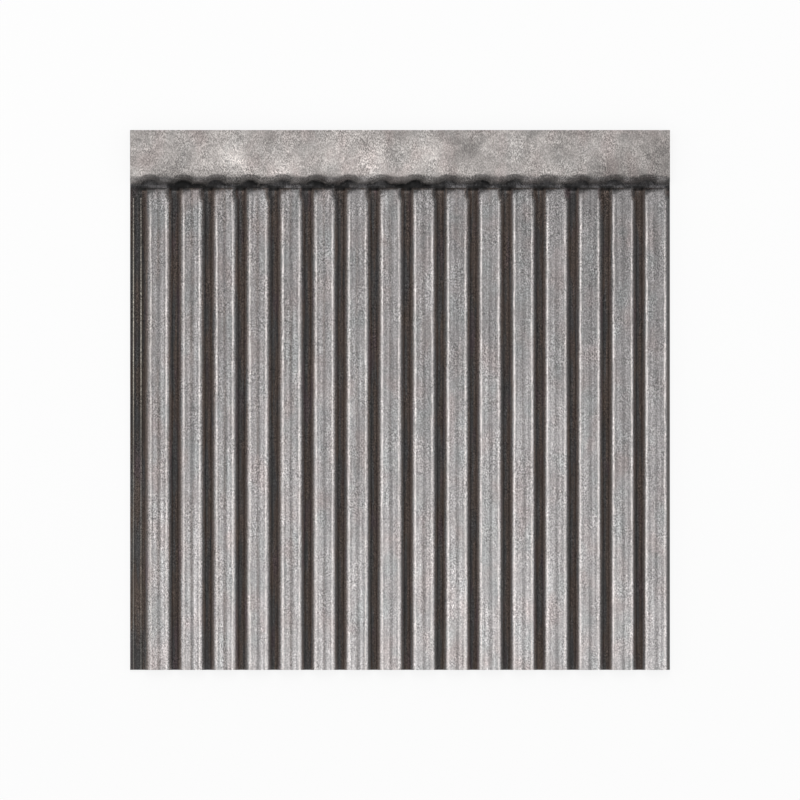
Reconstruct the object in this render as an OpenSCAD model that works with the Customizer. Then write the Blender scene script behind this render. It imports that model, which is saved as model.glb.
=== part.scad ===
// Fluted wall panel of aluminium composite: a formed aluminium front skin and a flat
// aluminium back skin, bonded to a dark polyethylene core.
// It lies on its back. X runs across the ribs, Y along them towards the flat head,
// and Z out of the face. The origin is the middle of the back.

/* [Panel] */
// Length along the ribs, head included
panel_l = 610; // [300:5:2440]
// Overall thickness, from the back to the rib faces
panel_t = 16; // [15:0.5:30]
// Number of ribs
rib_count = 16; // [3:1:32]

/* [Skins] */
// Thickness of the formed front skin
front_skin_t = 0.5; // [0.3:0.05:0.7]
// Thickness of the flat back skin
back_skin_t = 0.5; // [0.3:0.05:1]

/* [Ribs] */
// Spacing of the ribs, centre to centre
rib_pitch = 37.45; // [34:0.05:60]
// Width of a rib's face
rib_face_w = 23.4; // [20:0.1:25]
// Depth of the grooves between the ribs
groove_depth = 11; // [8:0.5:13]
// Width of a groove's floor
groove_floor_w = 5.2; // [4:0.1:7]
// Radius along a rib's edges
arris_r = 3.5; // [1:0.1:5]
// Radius in the corners of a groove's floor
floor_r = 1.2; // [0.5:0.1:1.6]
// Radius across a rib's end
end_r = 4; // [1:0.1:6]

/* [Rib face] */
// Width of the shallow channel down the middle of a rib's face
channel_w = 6; // [4:0.5:9]
// Depth of that channel
channel_depth = 0.6; // [0.2:0.05:0.8]
// Distance of a rib's two fine lines from its centreline
line_x = 6.6; // [5.5:0.1:8]
// Width of a fine line
line_w = 1.2; // [0.8:0.1:1.6]
// Depth of a fine line
line_depth = 0.2; // [0.1:0.05:0.25]

/* [Side ledge] */
// Width of the low ledge along the left side
ledge_w = 16; // [12:0.5:30]
// Distance of the outer bead from the panel's edge
bead_margin = 3.8; // [2:0.1:5]
// Distance of the inner bead from the foot of the first rib
bead_inset = 3.6; // [2:0.1:5]
// Radius of a bead's rounded top
bead_r = 0.9; // [0.8:0.1:1.2]
// Height of a bead's upright sides
bead_side = 0.5; // [0.2:0.1:1]
// Distance by which the beads stop short of the gutter
bead_stop = 11; // [2:0.5:30]

/* [Head] */
// Width of the flat head, from the panel's top edge to where it rolls over
head_w = 50.5; // [30:0.5:100]
// Width of the cross gutter, from there to the rib ends
gutter_w = 15; // [13:0.5:30]
// Depth of the gutter below the groove floors
gutter_step = 1.5; // [0.5:0.1:2.5]
// Radius with which the head rolls over into the gutter
roll_r = 9; // [5:0.5:9]
// Radius at the foot of the gutter's and the scallops' walls
wall_foot_r = 4; // [1:0.5:5]
// Lean of the gutter's and the scallops' walls from upright, in degrees
wall_lean = 22; // [10:1:30]

/* [Scallops] */
// Radius of the scallop in the head above each rib, to the edge of its lip
scallop_r = 21.7; // [20:0.1:22.5]
// Sideways shift of the scallops from the rib centrelines
scallop_shift = -9.5; // [-10:0.5:10]
// Distance of a scallop's centre beyond the rib ends, towards the ribs
scallop_setback = 5.3; // [3:0.1:8]
// Radius of a scallop's rolled lip
scallop_lip_r = 7; // [4:0.5:8]

/* [Hidden] */
wall_run = (rib_pitch - rib_face_w - groove_floor_w) / 2; // width of a sloping rib side
panel_w = ledge_w + rib_count * rib_pitch - groove_floor_w;
rib_l = panel_l - head_w - gutter_w;
floor_z = panel_t - groove_depth;
gutter_z = floor_z - gutter_step;
first_rib_x = ledge_w + wall_run + rib_face_w / 2;
draft = atan(wall_run / groove_depth); // lean of a rib's sides from upright
foot_r = min(wall_foot_r, foot_room(groove_depth + gutter_step, roll_r),
             foot_room(groove_depth, scallop_lip_r)); // as much as fits below the rolls
lip_end = 15; // angle at which a scallop's lip runs out into the head's face
past = 2; // how far cutters reach past what they cut
hair = 0.01; // points nearer than this to the panel's edge count as on it
turn_steps = 5; // flats in the round of an edge
corner_steps = 4; // flats in the round of an inside corner
sweep_steps = 8; // flats in the head's roll, a bead's top and the channel
line_steps = 4; // flats across a fine line
$fn = 96;

function rib_x(k) = first_rib_x + k * rib_pitch;

// Largest foot radius that fits below a roll of radius r, in a wall of that height
function foot_room(height, r) = height / (1 - sin(wall_lean)) - r;

// Centre of a foot on the floor, from which the wall rises to a roll of radius r about c
function foot_centre(c, r, floor) =
    let (z = floor + foot_r)
    [c.x - (r + foot_r + (c.y - z) * sin(wall_lean)) / cos(wall_lean), z];

// Points on an arc about c, from angle a0 to angle a1 in n steps
function arc(c, r, a0, a1, n) =
    [for (k = [0:n]) let (a = a0 + (a1 - a0) * k / n) c + r * [cos(a), sin(a)]];

function mirrored(points) = [for (k = [len(points) - 1:-1:0]) [-points[k].x, points[k].y]];

function shifted(points, x) = [for (p = points) p + [x, 0]];

// A smooth dip in a level face: n + 1 points across it
function dip(centre, w, depth, z, n) =
    [for (k = [0:n]) [centre + w * (k / n - 0.5), z - depth * (1 - cos(360 * k / n)) / 2]];

// Right half of a rib, from its face to the groove floor, inset into the solid
function rib_side(inset) =
    let (bend = tan((90 - draft) / 2),
         arris = [rib_face_w / 2 - arris_r * bend, panel_t - arris_r],
         corner = [rib_face_w / 2 + wall_run + floor_r * bend, floor_z + floor_r])
    concat(arc(arris, arris_r - inset, 90, draft, turn_steps),
           arc(corner, floor_r + inset, 180 + draft, 270, corner_steps));

// Face of a rib between its edges. The fine lines are pressed into the skin alone.
function rib_face(inset) =
    let (z = panel_t - inset,
         line = inset == 0 ? dip(line_x, line_w, line_depth, z, line_steps) : [])
    concat(mirrored(line), dip(0, channel_w, channel_depth, z, sweep_steps), line);

function rib(inset) = concat(mirrored(rib_side(inset)), rib_face(inset), rib_side(inset));

function bead(inset) =
    concat([[inset - bead_r, floor_z / 2]],
           arc([0, floor_z + bead_side], bead_r - inset, 180, 0, sweep_steps),
           [[bead_r - inset, floor_z / 2]]);

// Section across the ribs, from z = low up to the face
module rib_section(inset, low, grow) {
    polygon(concat(
        [[-grow, low], [-grow, floor_z - inset]],
        [for (k = [0:rib_count - 1]) each
            [for (p = shifted(rib(inset), rib_x(k))) if (p.x < panel_w - hair) p]],
        [[panel_w + grow, floor_z - inset], [panel_w + grow, low]]));
}

// Outline that the ribs are trimmed to along their length
module rib_trim(inset, low, grow) {
    polygon(concat(
        [[-grow, low], [-grow, panel_t + past]],
        [[rib_l - end_r, panel_t + past]],
        arc([rib_l - end_r, panel_t - end_r], end_r - inset, 90, 0, turn_steps),
        [[rib_l - inset, low]]));
}

// Section along the panel through the gutter and the head
module head_section(inset, low, grow) {
    roll = [panel_l - head_w, panel_t - roll_r];
    foot = foot_centre(roll, roll_r, gutter_z);
    polygon(concat(
        [[rib_l - inset - past, low], [rib_l - inset - past, gutter_z - inset]],
        arc(foot, foot_r + inset, 270, 360 - wall_lean, turn_steps),
        arc(roll, roll_r - inset, 180 - wall_lean, 90, sweep_steps),
        [[panel_l + grow, panel_t - inset], [panel_l + grow, low]]));
}

// Lays a profile's first axis along Y and its second along Z, and extrudes it along X
module extrude_x(from, to) {
    translate([from, 0, 0]) rotate([90, 0, 90]) linear_extrude(to - from) children();
}

// Lays a profile's second axis along Z, and extrudes it along Y
module extrude_y(from, to) {
    translate([0, to, 0]) rotate([90, 0, 0]) linear_extrude(to - from) children();
}

// The round pocket behind each scallop, with its floor at floor and a rolled lip at the face
module pocket(inset, floor) {
    lip = [scallop_r + scallop_lip_r * sin(lip_end), panel_t - scallop_lip_r * cos(lip_end)];
    foot = foot_centre(lip, scallop_lip_r, floor);
    run_out = lip + (scallop_lip_r - inset) * [cos(90 + lip_end), sin(90 + lip_end)]
        + past * [1 / tan(lip_end), 1];
    rotate_extrude() polygon(concat(
        [[0, floor - inset]],
        arc(foot, foot_r + inset, 270, 360 - wall_lean, corner_steps),
        arc(lip, scallop_lip_r - inset, 180 - wall_lean, 90 + lip_end, turn_steps),
        [run_out, [0, run_out.y]]));
}

// The pockets, as far as they reach into the head
module head_pockets(inset) {
    for (k = [0:rib_count - 1])
        intersection() {
            translate([rib_x(k) + scallop_shift, rib_l - scallop_setback, 0])
                pocket(inset, gutter_z);
            translate([rib_x(k) - rib_pitch, rib_l - inset, 0])
                cube([2 * rib_pitch, head_w, panel_t + 2 * past]);
        }
}

// Each pocket's lip runs on into the near corner of the rib to its left, and the last
// rib's corner is relieved in the same way
module rib_pockets(inset) {
    for (k = [1:rib_count])
        intersection() {
            translate([rib_x(k) + scallop_shift, rib_l - scallop_setback, 0])
                pocket(inset, floor_z);
            translate([rib_x(k) - rib_pitch, rib_l - rib_pitch, 0])
                cube([rib_pitch - rib_face_w / 2 - wall_run, rib_pitch + past,
                      panel_t + 2 * past]);
        }
}

module beads(inset, grow) {
    for (x = [bead_margin, ledge_w - bead_inset])
        translate([x, 0, 0]) extrude_y(-grow, rib_l - bead_stop - inset) polygon(bead(inset));
}

// Everything under the face, which is moved in by inset, from z = low, and grown sideways
module under_face(inset, low, grow = 0) {
    difference() {
        intersection() {
            extrude_y(-grow, rib_l) rib_section(inset, low, grow);
            extrude_x(-grow, panel_w + grow) rib_trim(inset, low, grow);
        }
        rib_pockets(inset);
    }
    beads(inset, grow);
    difference() {
        extrude_x(-grow, panel_w + grow) head_section(inset, low, grow);
        head_pockets(inset);
    }
}

module centred() {
    translate([-panel_w / 2, -panel_l / 2, 0]) children();
}

module front_skin() {
    color("silver") centred() difference() {
        under_face(0, back_skin_t);
        under_face(front_skin_t, back_skin_t - past, past);
    }
}

module core() {
    color("dimgray") centred() under_face(front_skin_t, back_skin_t);
}

module back_skin() {
    color("lightgray") centred() cube([panel_w, panel_l, back_skin_t]);
}

front_skin();
core();
back_skin();
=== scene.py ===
"""Looks for the ribbed aluminium composite wall panel, lying on its back.

The three CAD nodes keep their shapes. Here they get smooth shading and procedural finishes:
a mottled, galvanised-look front skin with painted shade in its recesses and painted light and
highlights on its face, a black core and a plain back skin. All sizes are in metres, in the
frame of the CAD model.
"""

import math

import bpy
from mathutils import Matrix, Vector


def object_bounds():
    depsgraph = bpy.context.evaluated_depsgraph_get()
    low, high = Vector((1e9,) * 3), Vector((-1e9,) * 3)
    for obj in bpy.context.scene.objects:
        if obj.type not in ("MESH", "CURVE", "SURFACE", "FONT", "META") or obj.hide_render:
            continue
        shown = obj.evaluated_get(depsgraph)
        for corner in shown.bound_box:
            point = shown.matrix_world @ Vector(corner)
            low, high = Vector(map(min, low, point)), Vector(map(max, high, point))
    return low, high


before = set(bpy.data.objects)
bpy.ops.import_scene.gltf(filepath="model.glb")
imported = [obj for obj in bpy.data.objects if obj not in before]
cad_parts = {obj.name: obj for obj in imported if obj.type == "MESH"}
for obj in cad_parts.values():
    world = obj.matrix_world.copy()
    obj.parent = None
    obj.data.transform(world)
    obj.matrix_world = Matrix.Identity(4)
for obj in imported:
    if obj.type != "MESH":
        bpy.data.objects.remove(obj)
cad_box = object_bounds()

MM = 0.001

# The panel's outline, from the frame
HALF_W = cad_box[1].x
HALF_L = cad_box[1].y
FACE_Z = cad_box[1].z

# Layout of the panel's face, as in the CAD model
LEDGE_W = 16 * MM
RIB_PITCH = 37.45 * MM
GROOVE_FLOOR_W = 5.2 * MM
HEAD_W = 50.5 * MM
GUTTER_W = 15 * MM
GROOVE_DEPTH = 11 * MM
POCKET_SHIFT = -9.5 * MM  # from a rib's centreline to the centre of its scallop
LINE_X = 6.6 * MM         # from a rib's centreline to its fine pressed lines
EDGE_X = 9.5 * MM         # from a rib's centreline to the middle of its painted edge highlights
BEAD_TOP_Z = 6.4 * MM
LEDGE_X = LEDGE_W - HALF_W
FIRST_RIB_X = LEDGE_X + (RIB_PITCH - GROOVE_FLOOR_W) / 2
RIB_END_Y = HALF_L - HEAD_W - GUTTER_W

# Smoothing of the CAD nodes' facets
SHARP_ANGLE = math.radians(32)
WELD_DISTANCE = 0.001 * MM

# Floor
FLOOR_HALF_W = 6.0
FLOOR_LIFT = 0.05 * MM  # so that the floor and the panel's back don't lie in one plane
FLOOR_GLOW = 0.86       # share of white in the floor as the camera sees it
FLOOR_GREY = (0.9, 0.9, 0.9, 1)

# Light: the surroundings, and softboxes as (name, place, size, watts)
WORLD_WHITE = (1, 1, 1, 1)
WORLD_LIGHT = 0.62
SOFTBOXES = (
    ("key", (-0.25, 0.9, 2.2), (1.4, 1.4), 15),
    ("left_strip", (-2.0, 0.1, 0.75), (0.5, 1.8), 8),
    ("right_strip", (2.0, -0.1, 0.75), (0.5, 1.8), 8),
)

# Camera
PANEL_SHARE = 0.675  # of the picture's width
CAMERA_HEIGHT = 20.0
SENSOR_W = 36.0


def srgb(r, g, b):
    """A colour given in 0 to 255 display values, as a linear one with alpha."""
    def linear(v):
        v /= 255
        return v / 12.92 if v <= 0.04045 else ((v + 0.055) / 1.055) ** 2.4
    return (linear(r), linear(g), linear(b), 1.0)


RIB_METAL = srgb(161, 158, 158)
HEAD_METAL = srgb(165, 160, 157)
WARM_METAL = srgb(164, 150, 147)
COOL_METAL = srgb(150, 157, 157)
# painted highlight on the ribs' edges
EDGE_HIGHLIGHT_COLOUR = srgb(226, 220, 217)
# painted highlight on the ledge's beads
BEAD_HIGHLIGHT_COLOUR = srgb(205, 198, 186)
CUT_METAL = srgb(206, 207, 208)
# the next four: colours of the dark matt coat of painted shade in the recesses
BROWN_SHADE_COLOUR = srgb(82, 72, 66)
GREY_SHADE_COLOUR = srgb(72, 71, 71)
RED_SHADE_COLOUR = srgb(79, 67, 70)
GUTTER_SHADE_COLOUR = srgb(63, 62, 63)
CORE_BLACK = srgb(34, 34, 36)
CORE_GREY = srgb(58, 58, 60)
CORE_SMEAR = srgb(74, 73, 72)
BACK_METAL = srgb(184, 186, 186)
BACK_SHEEN = srgb(198, 200, 200)
BACK_LANE = srgb(176, 178, 177)
BACK_CLOUD = srgb(172, 175, 172)


class Shader:
    """Builds one node-based material. Numbers, colours and sockets may be mixed as inputs."""

    def __init__(self, name):
        self.material = bpy.data.materials.new(name)
        self.material.use_nodes = True
        self.tree = self.material.node_tree
        self.bsdf = self.tree.nodes["Principled BSDF"]
        self.coords = self.add("ShaderNodeTexCoord").outputs["Object"]
        split = self.add("ShaderNodeSeparateXYZ", Vector=self.coords)
        self.x, self.y, self.z = split.outputs

    def put(self, socket, value):
        """Links or sets a node's input. None leaves it as it is."""
        if isinstance(value, bpy.types.NodeSocket):
            self.tree.links.new(value, socket)
        elif value is not None:
            socket.default_value = value

    def fill(self, node, inputs):
        """Puts values into a node's inputs by name, with _ for each space in a name."""
        for name, value in inputs.items():
            self.put(node.inputs[name.replace("_", " ")], value)

    def add(self, kind, settings=None, **inputs):
        node = self.tree.nodes.new(kind)
        for name, value in (settings or {}).items():
            setattr(node, name, value)
        self.fill(node, inputs)
        return node

    def math(self, operation, a, b=None, c=None):
        node = self.add("ShaderNodeMath", {"operation": operation})
        for socket, value in zip(node.inputs, (a, b, c)):
            self.put(socket, value)
        return node.outputs[0]

    def product(self, *factors):
        total = factors[0]
        for factor in factors[1:]:
            total = self.math("MULTIPLY", total, factor)
        return total

    def lifted(self, share, amount):
        """A factor that is 1 where share is 0, and 1 + amount where share is 1."""
        return self.math("MULTIPLY_ADD", share, amount, 1.0)

    def swing(self, noise, amount):
        """A factor about 1 that follows noise, amount across its whole range."""
        return self.lifted(self.math("SUBTRACT", noise, 0.5), amount)

    def sway(self, noise, reach):
        """A distance about 0 that follows noise, reach across its whole range."""
        return self.math("MULTIPLY_ADD", noise, reach, -reach / 2)

    def mapped(self, value, low, high, out_low, out_high, interpolation):
        node = self.add("ShaderNodeMapRange", {"interpolation_type": interpolation}, Value=value,
                        From_Min=low, From_Max=high, To_Min=out_low, To_Max=out_high)
        return node.outputs[0]

    def between(self, value, low, high, out_low=0.0, out_high=1.0):
        """value taken smoothly from low..high to out_low..out_high, and held beyond."""
        return self.mapped(value, low, high, out_low, out_high, "SMOOTHSTEP")

    def slope(self, value, reach, result):
        """A straight line from -result at -reach to result at reach, held beyond them."""
        return self.mapped(value, -reach, reach, -result, result, "LINEAR")

    def ramp(self, value, stops):
        """value through straight lines between (value, result) stops, held beyond them."""
        low, high = stops[0][0], stops[-1][0]
        place = self.mapped(value, low, high, 0.0, 1.0, "LINEAR")
        node = self.add("ShaderNodeValToRGB", Fac=place)
        elements = node.color_ramp.elements
        while len(elements) < len(stops):
            elements.new(1.0)
        for element, (at, result) in zip(elements, stops):
            element.position = (at - low) / (high - low)
            element.color = (result, result, result, 1)
        return node.outputs[0]

    def band(self, value, centre, half_w, soft):
        """1 where value is within half_w of centre, with a soft edge."""
        off = self.math("ABSOLUTE", self.math("SUBTRACT", value, centre))
        return self.between(off, half_w, half_w + soft, 1.0, 0.0)

    def across(self, first):
        """Signed distance from the nearest of the lines at x = first and each rib pitch on."""
        phase = self.math("DIVIDE", self.math("SUBTRACT", self.x, first), RIB_PITCH)
        return self.math("MULTIPLY", self.math("SUBTRACT", phase, self.math("ROUND", phase)),
                         RIB_PITCH)

    def blend(self, share, a, b):
        """The number a where share is 0, and b where it is 1."""
        node = self.add("ShaderNodeMix", {"data_type": "FLOAT"})
        for place, value in ((0, share), (2, a), (3, b)):
            self.put(node.inputs[place], value)
        return node.outputs[0]

    def mix(self, share, a, b):
        """The colour a where share is 0, and b where it is 1."""
        node = self.add("ShaderNodeMix", {"data_type": "RGBA"})
        for place, value in ((0, share), (6, a), (7, b)):
            self.put(node.inputs[place], value)
        return node.outputs[2]

    def shaded(self, colour, factor):
        """The colour, factor times as bright."""
        node = self.add("ShaderNodeVectorMath", {"operation": "SCALE"})
        self.put(node.inputs[0], colour)
        self.put(node.inputs["Scale"], factor)
        return node.outputs[0]

    def stretched(self, x=1.0, y=1.0, z=1.0, shift=0.0, turn=0.0):
        """The coordinates scaled, turned by turn degrees about X and Z, and shifted.

        A small scale draws a pattern out, and a shift keeps one noise from matching another.
        """
        node = self.add("ShaderNodeMapping", Vector=self.coords)
        node.inputs["Scale"].default_value = (x, y, z)
        node.inputs["Rotation"].default_value = (math.radians(turn), 0, math.radians(turn))
        node.inputs["Location"].default_value = (shift, shift, shift)
        return node.outputs[0]

    def noise(self, size, detail=2.0, roughness=0.5, distortion=0.0, at=None):
        """Noise whose features are about size metres across."""
        node = self.add("ShaderNodeTexNoise", Vector=self.coords if at is None else at,
                        Scale=1 / size, Detail=detail, Roughness=roughness,
                        Distortion=distortion)
        return node.outputs["Fac"]

    def bump(self, height, distance, strength, normal=None):
        return self.add("ShaderNodeBump", Height=height, Distance=distance, Strength=strength,
                        Normal=normal).outputs[0]

    def finish(self, **inputs):
        """The material, once its main shader has these inputs."""
        self.fill(self.bsdf, inputs)
        return self.material


class FrontSkin(Shader):
    """The front skin's shader, which knows where on the panel's face a point lies."""

    def __init__(self):
        super().__init__("mottled_front_skin")
        self.depth = self.math("SUBTRACT", FACE_Z, self.z)
        self.up = self.math("SUBTRACT", self.y, RIB_END_Y)  # from the rib ends, to the head
        self.in_head = self.between(self.up, 0.0, 0.4 * MM)
        self.on_ribs = self.lifted(self.in_head, -1.0)
        self.off = self.across(FIRST_RIB_X)  # from the nearest rib's centreline
        self.from_centre = self.math("ABSOLUTE", self.off)
        along = self.math("MULTIPLY", self.y, self.blend(self.in_head, 0.32, 1.0))
        self.flow = self.add("ShaderNodeCombineXYZ", X=self.x, Y=along, Z=self.z).outputs[0]
        self.clouds = self.noise(50 * MM, detail=4, roughness=0.6, distortion=0.8, at=self.flow)


def zinc_bloom(s):
    """The mottled metal of the head and the rib faces, drawn out along the ribs."""
    warm = s.noise(26 * MM, at=s.stretched(y=0.6, shift=3.1))
    cool = s.noise(22 * MM, at=s.stretched(y=0.6, shift=7.7))
    tone = s.mix(s.in_head, RIB_METAL, HEAD_METAL)
    tone = s.mix(s.between(warm, 0.45, 0.7, 0.0, 0.4), tone, WARM_METAL)
    most_cool = s.blend(s.in_head, 0.35, 0.12)
    tone = s.mix(s.between(cool, 0.45, 0.7, 0.0, most_cool), tone, COOL_METAL)

    drifts = s.noise(95 * MM, distortion=0.5, at=s.stretched(shift=6.3))
    flecks = s.noise(11 * MM, detail=5, roughness=0.7, distortion=1.2, at=s.flow)
    streaks = s.noise(2.6 * MM, detail=3, roughness=0.6, at=s.stretched(y=0.02))
    shade = s.product(s.swing(s.clouds, s.blend(s.in_head, 0.68, 1.6)),
                      s.swing(drifts, s.blend(s.in_head, 0.15, 1.8)),
                      s.between(flecks, 0.46, 0.64, 0.95, s.blend(s.in_head, 1.15, 1.19)),
                      s.blend(s.on_ribs, 1.0, s.swing(streaks, 1.1)))
    return s.shaded(tone, shade)


def channel_shade_and_dark_lines(s):
    """Painted shade in each rib's channel, and darker pressed lines, heavier away from the head: a
    factor.
    """
    lines = s.product(s.band(s.from_centre, LINE_X, 0.3 * MM, 0.8 * MM), 0.15)
    channel = s.product(s.band(s.off, MM, 0.5 * MM, 2.5 * MM), 0.33)
    heavier = s.ramp(s.y, ((-HALF_L, 1.2), (RIB_END_Y, 0.55)))
    return s.lifted(s.product(s.math("ADD", lines, channel), heavier, s.on_ribs), -1.0)


def painted_light_and_shade(s):
    """How bright the metal is painted over the panel, as painted light and shade: a factor.

    The metal is painted duller towards the rib ends, towards the right and along the head's top
    edge, as uneven light leaves it, and so is a rib's right shoulder, away from the head. A rib's
    left corner is painted darker sooner than its right one, as a painted shadow, and the rolled
    lip of the head is painted lighter, as painted light.
    """
    along = s.ramp(s.y, ((-HALF_L, 1.38), (95 * MM, 0.78), (RIB_END_Y - 25 * MM, 0.7),
                         (RIB_END_Y, 0.74), (RIB_END_Y + MM, 0.83),
                         (HALF_L - 25 * MM, 0.85), (HALF_L, 0.65)))
    sideways = s.ramp(s.x, ((-HALF_W, 1.22), (60 * MM - HALF_W, 1.08), (HALF_W, 0.96)))
    to_end = s.math("ADD", s.up, s.ramp(s.off, ((-11 * MM, 5 * MM), (2 * MM, 0.0))))
    rib_end = s.ramp(to_end, ((-7 * MM, 1.0), (-3.5 * MM, 0.85), (0.0, 0.3)))
    lip = s.ramp(s.depth, ((MM, 1.0), (2.5 * MM, 1.15), (8.5 * MM, 1.3), (10 * MM, 1.0)))
    right_side = s.ramp(s.y, ((0.0, 0.9), (RIB_END_Y - 30 * MM, 1.06), (RIB_END_Y, 1.0)))
    shoulder = s.between(s.off, 6.3 * MM, 7.3 * MM, 1.0, right_side)
    return s.product(along, sideways, s.blend(s.in_head, rib_end, lip), shoulder)


def painted_edge_highlights(s):
    """1 where the ribs' edges carry a painted highlight, in wandering lines that fade at the rib
    ends.
    """
    wander = s.noise(14 * MM, at=s.stretched(y=0.7, shift=12.9))
    inward = s.math("SUBTRACT", s.from_centre, s.slope(s.x, HALF_W, 0.75 * MM))
    inward = s.math("ADD", inward, s.sway(wander, 2 * MM))
    highlight_breaks = s.noise(9 * MM, detail=4, roughness=0.7, at=s.stretched(y=0.5, shift=1.7))
    return s.product(s.band(inward, EDGE_X, 0.4 * MM, 0.8 * MM),
                     s.between(highlight_breaks, 0.34, 0.66, 0.35, 1.0),
                     s.math("ADD", 0.92, s.slope(s.off, MM, -0.08)),
                     s.ramp(s.y, ((0.0, 1.0), (RIB_END_Y - 50 * MM, 0.85),
                                  (RIB_END_Y - 14 * MM, 0.4), (RIB_END_Y - 5 * MM, 0.0))))


def painted_shade_cover(s):
    """How much of the metal the dark matt coat of painted shade hides: more with depth, but less
    on the head's lip.
    """
    lean = s.math("ADD", s.slope(s.x, HALF_W, -0.55 * MM), s.slope(s.off, MM, -0.15 * MM))
    patchy = s.noise(10 * MM, detail=4, roughness=0.75, at=s.stretched(shift=8.8))
    patches = s.product(s.sway(patchy, 7 * MM), s.between(s.depth, 0.1 * MM, 2 * MM))
    uneven = s.math("ADD", s.sway(s.clouds, 1.2 * MM), s.blend(s.in_head, lean, patches))
    ragged = s.math("ADD", s.depth, uneven)
    rib_shade_coat = s.ramp(ragged, ((0.25 * MM, 0.0), (0.6 * MM, 0.2), (1.5 * MM, 0.64),
                               (3 * MM, 0.82), (6.5 * MM, 0.9), (9.5 * MM, 1.0)))
    head_shade_coat = s.ramp(ragged, ((0.05 * MM, 0.0), (0.25 * MM, 0.28), (0.6 * MM, 0.54),
                                (1.2 * MM, 0.6), (2.5 * MM, 0.5), (5 * MM, 0.45),
                                (8.5 * MM, 0.45), (10.5 * MM, 0.75), (12 * MM, 1.0)))
    return s.blend(s.in_head, rib_shade_coat, head_shade_coat)


def painted_shade_tint(s):
    """The hue of the painted shade: brown and grey, with a trace of red, and neutral in the
    gutter.
    """
    patch = s.noise(9 * MM, detail=3, roughness=0.6, at=s.stretched(y=0.12, shift=9.4))
    side = s.math("ADD", patch, s.slope(s.off, 18 * MM, 0.06))
    red = s.noise(12 * MM, at=s.stretched(y=0.2, shift=2.6))
    tint = s.mix(s.between(side, 0.42, 0.62), BROWN_SHADE_COLOUR, GREY_SHADE_COLOUR)
    tint = s.mix(s.between(red, 0.55, 0.72, 0.0, 0.7), tint, RED_SHADE_COLOUR)
    return s.mix(s.in_head, tint, GUTTER_SHADE_COLOUR)


def groove_shade(s):
    """How light the painted shade is across a groove: painted lighter on its sides than on its
    floor.
    """
    wall = s.product(s.ramp(s.off, ((-MM, 1.38), (MM, 1.36))),
                     s.between(s.depth, 3 * MM, 8 * MM, 1.14, 1.0))
    on_floor = s.between(s.depth, GROOVE_DEPTH - 1.5 * MM, GROOVE_DEPTH - 0.1 * MM)
    return s.blend(on_floor, wall, 0.96)


def gutter_shade(s):
    """How light the painted shade is in the gutter: dark in the pockets, and painted lighter
    before the rib ends, as light on their end faces.
    """
    from_pocket = s.math("ABSOLUTE", s.across(FIRST_RIB_X + POCKET_SHIFT))
    pocket = s.product(s.between(from_pocket, 8 * MM, 14 * MM, 1.0, 0.0),
                       s.between(s.up, 2 * MM, 4 * MM))
    from_kerb = s.math("ABSOLUTE", s.math("SUBTRACT", s.off, 1.5 * MM))
    kerb = s.between(from_kerb, 6.5 * MM, 11.5 * MM, 1.75, 0.95)
    blots = s.noise(38 * MM, detail=3, roughness=0.65, at=s.stretched(shift=15.1))
    return s.product(s.blend(pocket, kerb, 0.6), s.between(blots, 0.36, 0.64, 0.15, 1.9))


def mouth_shade(s):
    """The groove mouths: a painted shadow, darkest at the rib ends, with a painted highlight spot
    just inside.
    """
    mouth = s.product(s.between(s.from_centre, 9 * MM, 14 * MM),
                      s.band(s.up, -0.2 * MM, 2 * MM, 1.6 * MM),
                      s.between(s.depth, 3 * MM, 7 * MM))
    spot = s.product(s.band(s.up, -4.4 * MM, 0.6 * MM, 2 * MM),
                     s.between(s.from_centre, 14 * MM, 17 * MM))
    return s.product(s.lifted(mouth, -0.75), s.lifted(spot, 0.7))


def side_shade(s):
    """How the painted shade differs at the panel's two sides: a factor. The outer walls get more
    painted shade; the ledge is painted lighter low down, and darker higher up with a painted
    highlight streak down it.
    """
    upper = s.ramp(s.y, ((-90 * MM, 0.0), (-30 * MM, 1.0)))
    streak = s.band(s.x, LEDGE_X - 8.1 * MM, 0.5 * MM, 0.7 * MM)
    ledge = s.blend(upper, 1.27, s.blend(streak, 0.68, 1.16))
    on_ledge = s.between(s.x, LEDGE_X - 0.5 * MM, LEDGE_X + MM, 1.0, 0.0)
    first_wall = s.between(s.x, LEDGE_X + 4 * MM, LEDGE_X + 6.5 * MM, 0.76, 1.0)
    last_wall = s.between(s.x, HALF_W - 5 * MM, HALF_W - 3 * MM, 1.0, 0.4)
    return s.blend(s.on_ribs, 1.0, s.product(first_wall, s.blend(on_ledge, 1.0, ledge), last_wall))


def painted_shade_colour(s):
    """The colour of the painted shade, streaked along the grooves."""
    streaks = s.noise(2.6 * MM, detail=3, at=s.stretched(y=0.05, shift=5.2))
    shade = s.product(s.swing(streaks, s.blend(s.in_head, 1.3, 2.0)),
                      s.blend(s.in_head, groove_shade(s), gutter_shade(s)),
                      mouth_shade(s), side_shade(s))
    return s.shaded(painted_shade_tint(s), shade)


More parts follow.
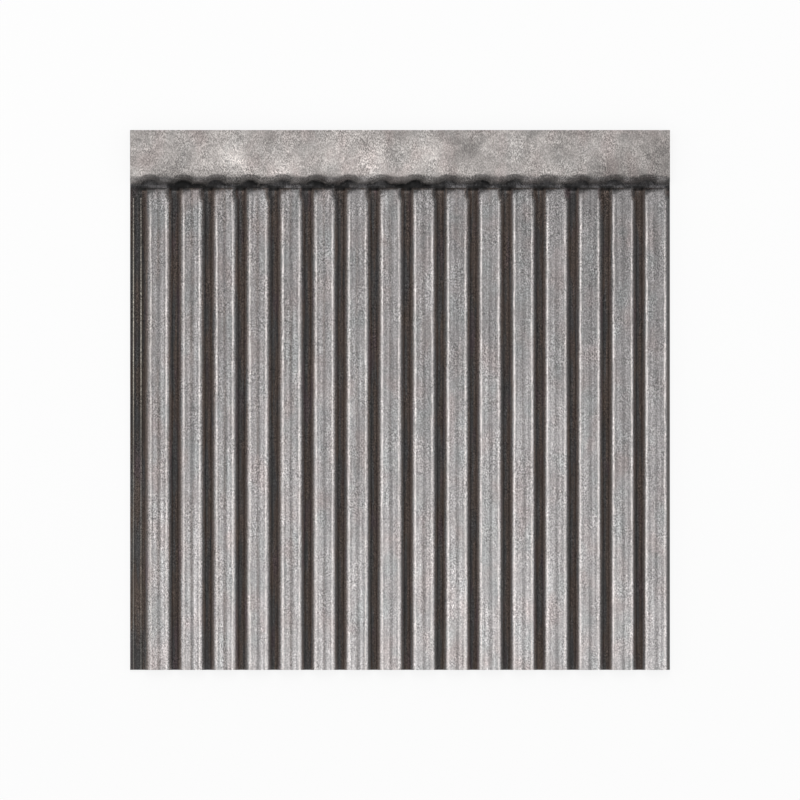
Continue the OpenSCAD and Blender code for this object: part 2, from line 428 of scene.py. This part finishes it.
def soft_shadows(s):
    """Shadows on the head's roll, beside the pockets and at the rib ends: a factor."""
    half_pitch = RIB_PITCH / 2
    roll = s.product(s.ramp(s.off, ((-8 * MM, 0.0), (-3 * MM, 0.2), (0.0, 0.32),
                                    (3 * MM, 0.22), (9 * MM, 0.0))),
                     s.between(s.up, 7 * MM, 9 * MM),
                     s.between(s.up, 14 * MM, 18 * MM, 1.0, 0.0))
    beside_pocket = s.product(s.ramp(s.off, ((-half_pitch, 0.3), (-15.5 * MM, 0.0), (9 * MM, 0.0),
                                             (14 * MM, 0.45), (half_pitch, 0.3))),
                              s.ramp(s.up, ((3 * MM, 0.0), (5 * MM, 1.0),
                                            (9 * MM, 1.0), (12 * MM, 0.0))))
    brink = s.product(s.ramp(s.off, ((-12 * MM, 0.7), (-7 * MM, 0.6), (0.0, 0.2),
                                     (6 * MM, 0.25), (12 * MM, 0.1))),
                      s.ramp(s.up, ((-3.6 * MM, 0.0), (-1.4 * MM, 0.9), (0.0, 1.0))),
                      s.on_ribs)
    return s.product(*(s.lifted(shadow, -1.0) for shadow in (roll, beside_pocket, brink)))


def bead_highlights(s):
    """1 where the beads on the ledge carry a painted highlight, which is strongest above the
    panel's middle.
    """
    return s.product(s.between(s.x, LEDGE_X - 1.2 * MM, LEDGE_X - MM, 1.0, 0.0),
                     s.between(s.z, BEAD_TOP_Z - 0.5 * MM, BEAD_TOP_Z - 0.1 * MM), s.on_ribs,
                     s.ramp(s.y, ((-HALF_L, 0.12), (-50 * MM, 0.2), (60 * MM, 0.6),
                                  (150 * MM, 0.45), (RIB_END_Y, 0.2))))


def grain_shade(s, grain, edge, shade_coat):
    """The grain as a factor, coarser where crystals show, and calmer on the painted edge
    highlights.
    """
    crystals = s.noise(18 * MM, detail=3, roughness=0.6, at=s.stretched(y=0.6, shift=4.4))
    coarse = s.product(s.between(crystals, 0.4, 0.62, 2.3, 4.7),
                       s.ramp(s.y, ((-HALF_L, 0.92), (RIB_END_Y, 1.22), (RIB_END_Y + MM, 1.0))),
                       s.lifted(edge, -0.5), s.lifted(shade_coat, 0.3))
    return s.swing(s.math("MAXIMUM", grain, 0.4), coarse)


def cut_edges(s):
    """1 on the outermost hair of the skin, where it is cut at the panel's sides."""
    sides = [s.between(s.math("ABSOLUTE", place), half - 0.04 * MM, half - 0.02 * MM)
             for place, half in ((s.x, HALF_W), (s.y, HALF_L))]
    return s.math("MAXIMUM", *sides)


def front_finish():
    """Mottled metal with painted edge highlights on the ribs and a dark coat of painted shade in
    the recesses.
    """
    s = FrontSkin()
    grain = s.noise(1.9 * MM, roughness=0.7, at=s.stretched(x=1.5, turn=34))
    edge = painted_edge_highlights(s)
    shade_coat = painted_shade_cover(s)
    # painted light and shade over the metal, with painted shade in the ribs' channels
    metal = s.shaded(zinc_bloom(s), s.product(channel_shade_and_dark_lines(s), painted_light_and_shade(s)))
    # painted highlight along the ribs' edges
    metal = s.mix(edge, metal, EDGE_HIGHLIGHT_COLOUR)
    # a dark matt coat of painted shade over the recesses, then painted shadows
    colour = s.shaded(s.mix(shade_coat, metal, painted_shade_colour(s)), soft_shadows(s))
    # painted highlight on the ledge's beads
    colour = s.mix(bead_highlights(s), colour, BEAD_HIGHLIGHT_COLOUR)
    colour = s.shaded(colour, grain_shade(s, grain, edge, shade_coat))
    colour = s.mix(cut_edges(s), colour, CUT_METAL)
    roughness = s.math("SUBTRACT", s.between(shade_coat, 0.0, 1.0, 0.62, 0.72),
                       s.math("MULTIPLY", s.clouds, 0.2))
    normal = s.bump(s.clouds, 0.4 * MM, 0.4, s.bump(grain, 0.06 * MM, 0.5))
    return s.finish(Base_Color=colour, Roughness=roughness, Normal=normal,
                    Metallic=s.between(shade_coat, 0.0, 1.0, 0.55, 0.1), Specular_IOR_Level=0.2)


def core_finish():
    """Sawn black polyethylene, seen at the panel's edges."""
    s = Shader("sawn_core")
    cut = s.noise(0.5 * MM, detail=3, roughness=0.7, at=s.stretched(z=0.12))
    smear = s.noise(9 * MM, detail=3)
    colour = s.mix(s.between(cut, 0.3, 0.7), CORE_BLACK, CORE_GREY)
    colour = s.mix(s.between(smear, 0.4, 0.7, 0.0, 0.4), colour, CORE_SMEAR)
    return s.finish(Base_Color=colour, Roughness=s.between(cut, 0.3, 0.7, 0.5, 0.75),
                    Normal=s.bump(cut, 0.08 * MM, 0.6))


def back_finish():
    """Rolled aluminium under a thin, clear wash coat."""
    s = Shader("washed_back_skin")
    rolled = s.noise(1.3 * MM, detail=3, roughness=0.6, at=s.stretched(y=0.004, shift=0.35 * MM))
    lanes = s.noise(22 * MM, at=s.stretched(y=0.05, shift=8 * MM))
    cloud = s.noise(70 * MM, detail=4, at=s.stretched(y=0.5, shift=25 * MM))
    colour = s.mix(s.between(rolled, 0.3, 0.7), BACK_METAL, BACK_SHEEN)
    colour = s.mix(s.between(lanes, 0.35, 0.7, 0.0, 0.35), colour, BACK_LANE)
    colour = s.mix(s.between(cloud, 0.4, 0.7, 0.0, 0.3), colour, BACK_CLOUD)
    roughness = s.math("ADD", s.between(cloud, 0.3, 0.7, 0.34, 0.42),
                       s.between(lanes, 0.35, 0.7, 0.0, 0.06))
    return s.finish(Base_Color=colour, Roughness=roughness, Metallic=0.85,
                    Normal=s.bump(rolled, 0.008 * MM, 0.3))


def smooth_shading():
    """Geometry nodes that weld a node's patches and shade its arcs smooth, with sharp edges."""
    group = bpy.data.node_groups.new("smooth_by_angle", "GeometryNodeTree")
    for in_out in ("INPUT", "OUTPUT"):
        group.interface.new_socket("Geometry", in_out=in_out, socket_type="NodeSocketGeometry")
    made = {}
    for name, kind in (("input", "NodeGroupInput"), ("output", "NodeGroupOutput"),
                       ("weld", "GeometryNodeMergeByDistance"),
                       ("forget", "GeometryNodeRemoveAttribute"),
                       ("faces", "GeometryNodeSetShadeSmooth"),
                       ("edges", "GeometryNodeSetShadeSmooth"),
                       ("angle", "GeometryNodeInputMeshEdgeAngle"),
                       ("sharp", "FunctionNodeCompare")):
        made[name] = group.nodes.new(kind)
    made["weld"].inputs["Distance"].default_value = WELD_DISTANCE
    made["forget"].inputs["Name"].default_value = "custom_normal"
    made["faces"].domain = "FACE"
    made["faces"].inputs["Shade Smooth"].default_value = True
    made["edges"].domain = "EDGE"
    made["edges"].inputs["Shade Smooth"].default_value = False
    made["sharp"].operation = "GREATER_THAN"
    made["sharp"].inputs["B"].default_value = SHARP_ANGLE
    link = group.links.new
    for source, target in (("input", "weld"), ("weld", "forget"), ("forget", "faces"),
                           ("faces", "edges"), ("edges", "output")):
        link(made[source].outputs[0], made[target].inputs[0])
    link(made["angle"].outputs["Unsigned Angle"], made["sharp"].inputs["A"])
    link(made["sharp"].outputs[0], made["edges"].inputs["Selection"])
    return group


def dress(node, material, smoothing):
    """Gives a CAD node its material and smooth shading."""
    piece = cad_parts[node]
    piece.data.materials.clear()
    piece.data.materials.append(material)
    piece.modifiers.new("smooth_by_angle", "NODES").node_group = smoothing
    weighted = piece.modifiers.new("weighted_normals", "WEIGHTED_NORMAL")
    weighted.mode = "FACE_AREA_WITH_ANGLE"
    weighted.keep_sharp = True


def shown_directly(tree):
    """1 for rays from the camera, or mirrored or refracted by the object."""
    path = tree.nodes.new("ShaderNodeLightPath")
    total = path.outputs["Is Camera Ray"]
    for name in ("Is Glossy Ray", "Is Transmission Ray"):
        most = tree.nodes.new("ShaderNodeMath")
        most.operation = "MAXIMUM"
        tree.links.new(total, most.inputs[0])
        tree.links.new(path.outputs[name], most.inputs[1])
        total = most.outputs[0]
    return total


def floor_finish():
    """Matt and pale to the light, and near white to the camera, with the shadows kept."""
    material = bpy.data.materials.new("pale_floor")
    material.use_nodes = True
    tree = material.node_tree
    tree.nodes.clear()
    output = tree.nodes.new("ShaderNodeOutputMaterial")
    mix = tree.nodes.new("ShaderNodeMixShader")
    matt = tree.nodes.new("ShaderNodeBsdfDiffuse")
    glow = tree.nodes.new("ShaderNodeEmission")
    share = tree.nodes.new("ShaderNodeMath")
    share.operation = "MULTIPLY"
    share.inputs[1].default_value = FLOOR_GLOW
    matt.inputs["Color"].default_value = FLOOR_GREY
    tree.links.new(shown_directly(tree), share.inputs[0])
    for source, socket in ((share, mix.inputs[0]), (matt, mix.inputs[1]),
                           (glow, mix.inputs[2]), (mix, output.inputs[0])):
        tree.links.new(source.outputs[0], socket)
    return material


def add_floor():
    """A plain square, far wider than the panel."""
    mesh = bpy.data.meshes.new("floor")
    corners = [(x * FLOOR_HALF_W, y * FLOOR_HALF_W, 0)
               for x, y in ((-1, -1), (1, -1), (1, 1), (-1, 1))]
    mesh.from_pydata(corners, [], [(0, 1, 2, 3)])
    mesh.materials.append(floor_finish())
    floor = bpy.data.objects.new("floor", mesh)
    floor.location.z = FLOOR_LIFT
    bpy.context.scene.collection.objects.link(floor)


def add_world():
    """White surroundings, which light the panel by WORLD_LIGHT and are shown as plain white."""
    world = bpy.data.worlds.new("studio")
    bpy.context.scene.world = world
    world.use_nodes = True
    tree = world.node_tree
    background = tree.nodes["Background"]
    background.inputs["Color"].default_value = WORLD_WHITE
    level = tree.nodes.new("ShaderNodeMapRange")
    level.inputs["To Min"].default_value = WORLD_LIGHT
    level.inputs["To Max"].default_value = 1.0
    tree.links.new(shown_directly(tree), level.inputs["Value"])
    tree.links.new(level.outputs[0], background.inputs["Strength"])


def add_softbox(name, place, size, watts):
    """A rectangular area light, turned to the panel."""
    data = bpy.data.lights.new(name, "AREA")
    data.shape = "RECTANGLE"
    data.size, data.size_y = size
    data.energy = watts
    lamp = bpy.data.objects.new(name, data)
    lamp.location = place
    lamp.rotation_euler = (-Vector(place)).to_track_quat("-Z", "Y").to_euler()
    bpy.context.scene.collection.objects.link(lamp)


def add_camera():
    """Straight above the panel, with its head at the top of the picture."""
    data = bpy.data.cameras.new("camera")
    data.sensor_width = SENSOR_W
    seen_w = 2 * HALF_W / PANEL_SHARE
    data.lens = SENSOR_W * (CAMERA_HEIGHT - FACE_Z) / seen_w
    camera = bpy.data.objects.new("camera", data)
    camera.location = (0, 0, CAMERA_HEIGHT)
    bpy.context.scene.collection.objects.link(camera)
    bpy.context.scene.camera = camera


smoothing = smooth_shading()
dress("front_skin", front_finish(), smoothing)
dress("core", core_finish(), smoothing)
dress("back_skin", back_finish(), smoothing)
add_floor()
add_world()
for softbox in SOFTBOXES:
    add_softbox(*softbox)
add_camera()
bpy.context.scene.view_settings.view_transform = "Standard"
